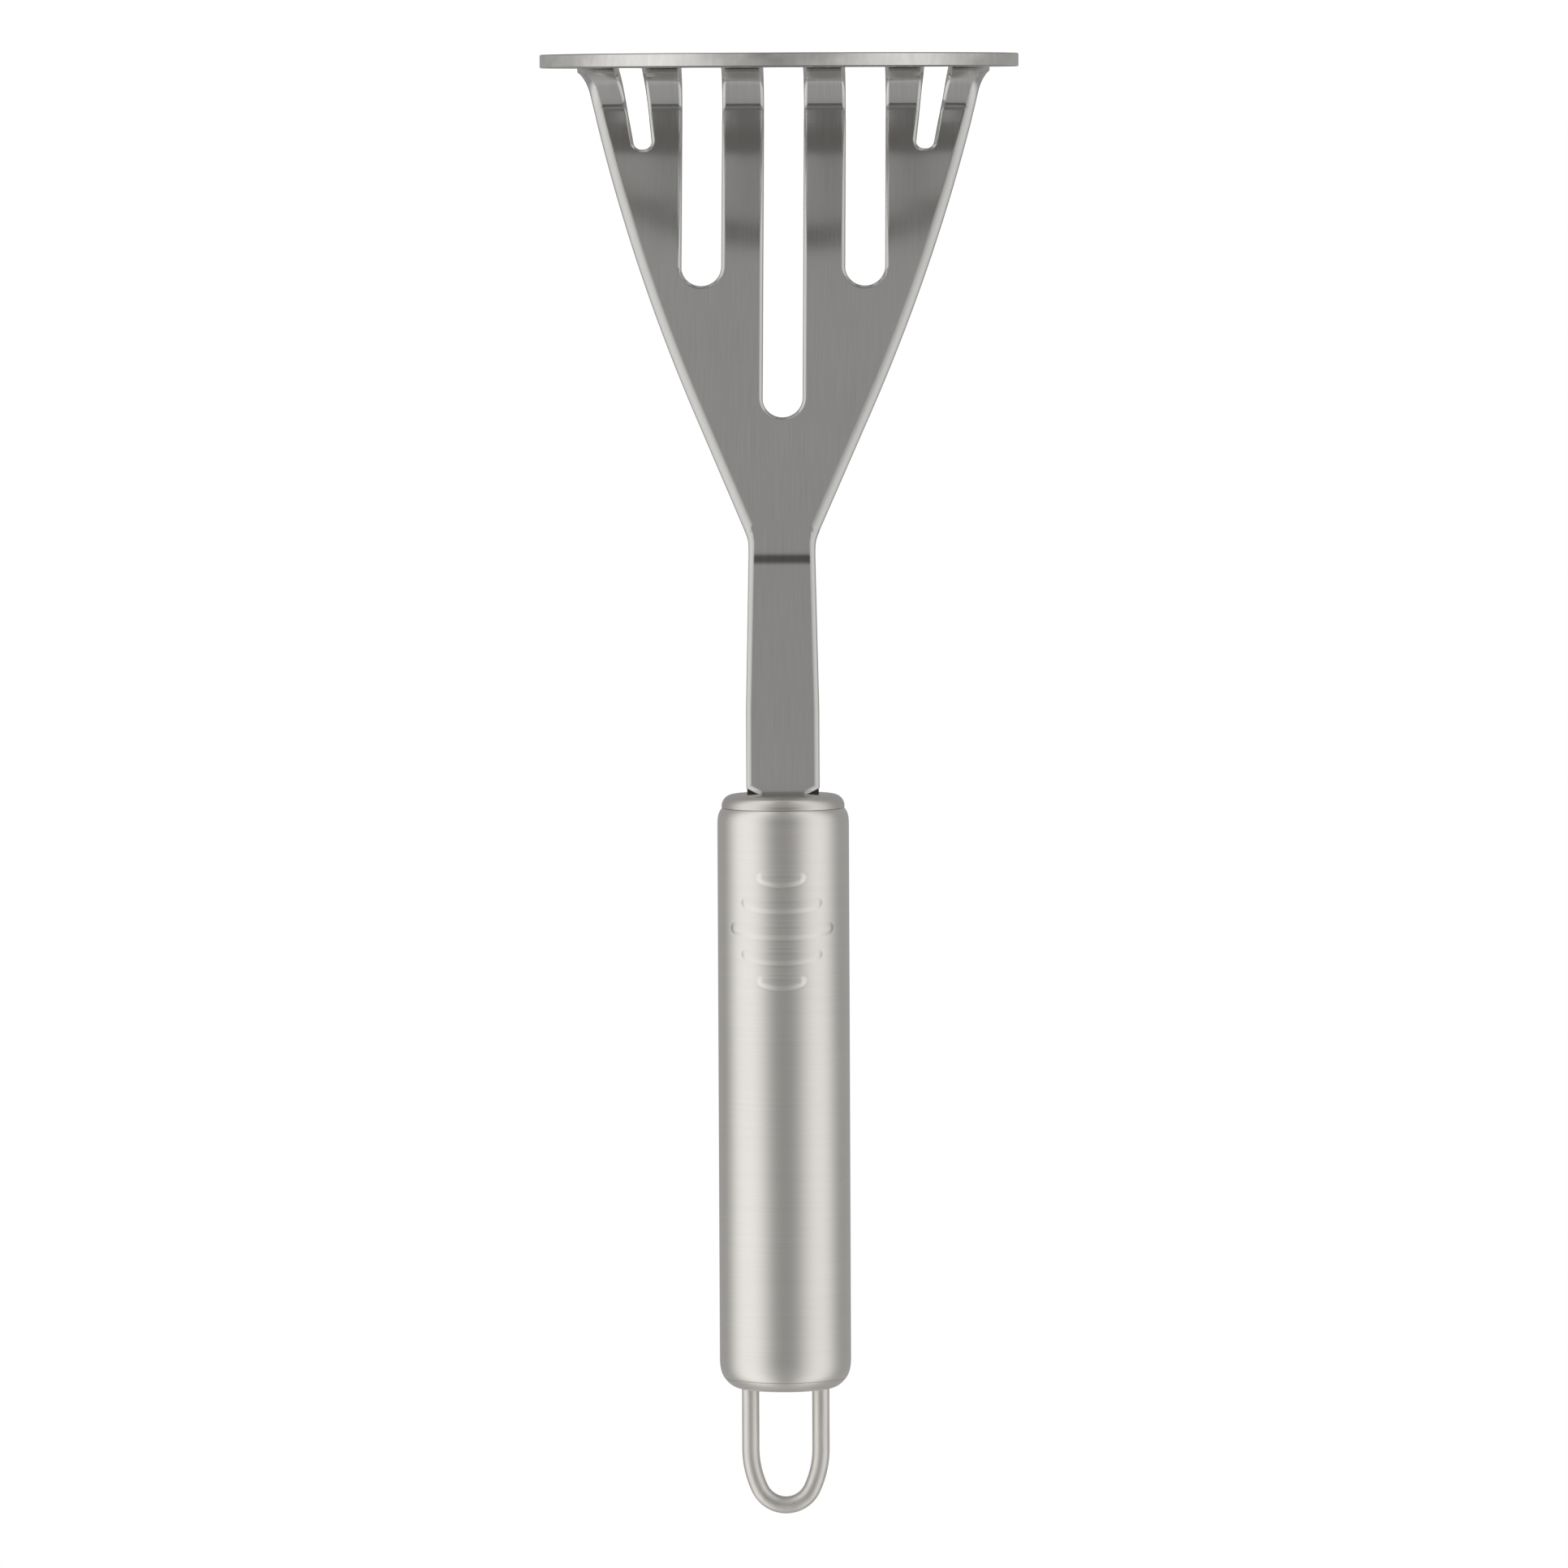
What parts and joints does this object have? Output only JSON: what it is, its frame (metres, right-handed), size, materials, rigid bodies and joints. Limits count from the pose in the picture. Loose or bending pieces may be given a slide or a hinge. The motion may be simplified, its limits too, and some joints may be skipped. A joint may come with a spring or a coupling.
{
  "type": "potato masher",
  "caption": "Upright hand masher: a slotted round plate bent up into a slotted fan, on a round hollow handle with grip ribs and a wire hanging loop.",
  "frame": {"origin": "centre of the round mash plate, on its flat working face", "axes": "+Z away from the working face, along the handle to the hanging loop; -Y towards the front, where the plate reaches out from under the fan; X across, with the handle's axis 4 mm behind the origin"},
  "size_m": [0.088, 0.0708, 0.27],
  "materials": {
    "head_steel": "satin, brushed lengthwise",
    "handle_steel": "satin, brushed round the handle",
    "wire_steel": "polished satin",
    "weld_steel": "ground or as welded"
  },
  "bodies": {
    "root": {"masher_head": "head_steel", "neck_cap": "handle_steel", "handle_tube": "handle_steel", "end_cap": "handle_steel", "hanging_loop": "wire_steel", "tang_welds": "weld_steel", "loop_welds": "weld_steel", "end_seam_weld": "weld_steel"}
  },
  "joints": []
}
